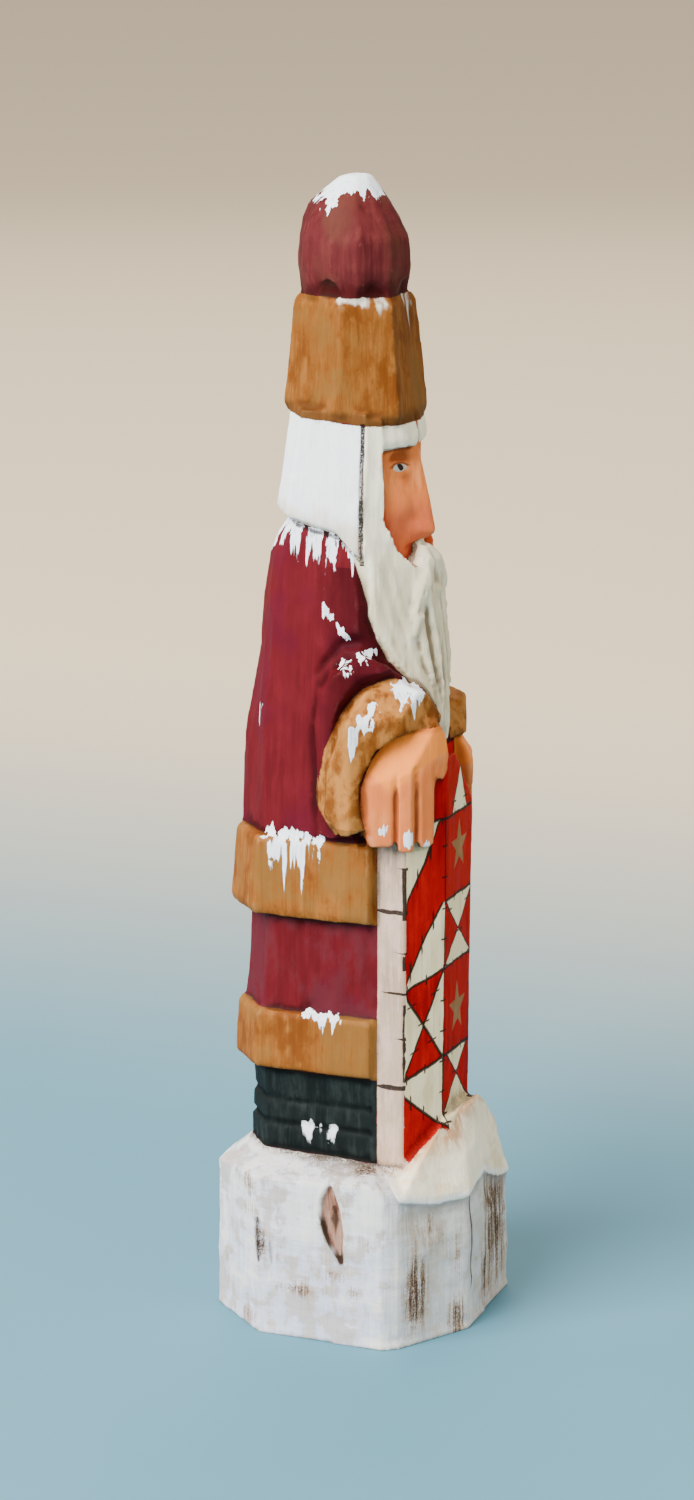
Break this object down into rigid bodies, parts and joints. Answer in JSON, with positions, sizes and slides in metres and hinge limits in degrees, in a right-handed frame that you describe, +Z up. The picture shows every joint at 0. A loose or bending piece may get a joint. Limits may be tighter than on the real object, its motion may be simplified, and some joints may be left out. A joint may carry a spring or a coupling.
{
  "type": "carved santa figure",
  "caption": "Standing santa carved in wood, with a tall fur-brimmed hat and both hands over a hanging patchwork quilt, on a bevelled block of snow.",
  "frame": {"origin": "middle of the flat underside of the base, on the surface it stands on", "axes": "+Z up along the figure, -Y towards its front (the side with the quilt and the face), +X towards its left hand"},
  "size_m": [0.069, 0.069, 0.3],
  "materials": {
    "painted_wood": "worn satin paint over carved wood"
  },
  "bodies": {
    "root": {"santa_figure": "painted_wood"}
  },
  "joints": []
}
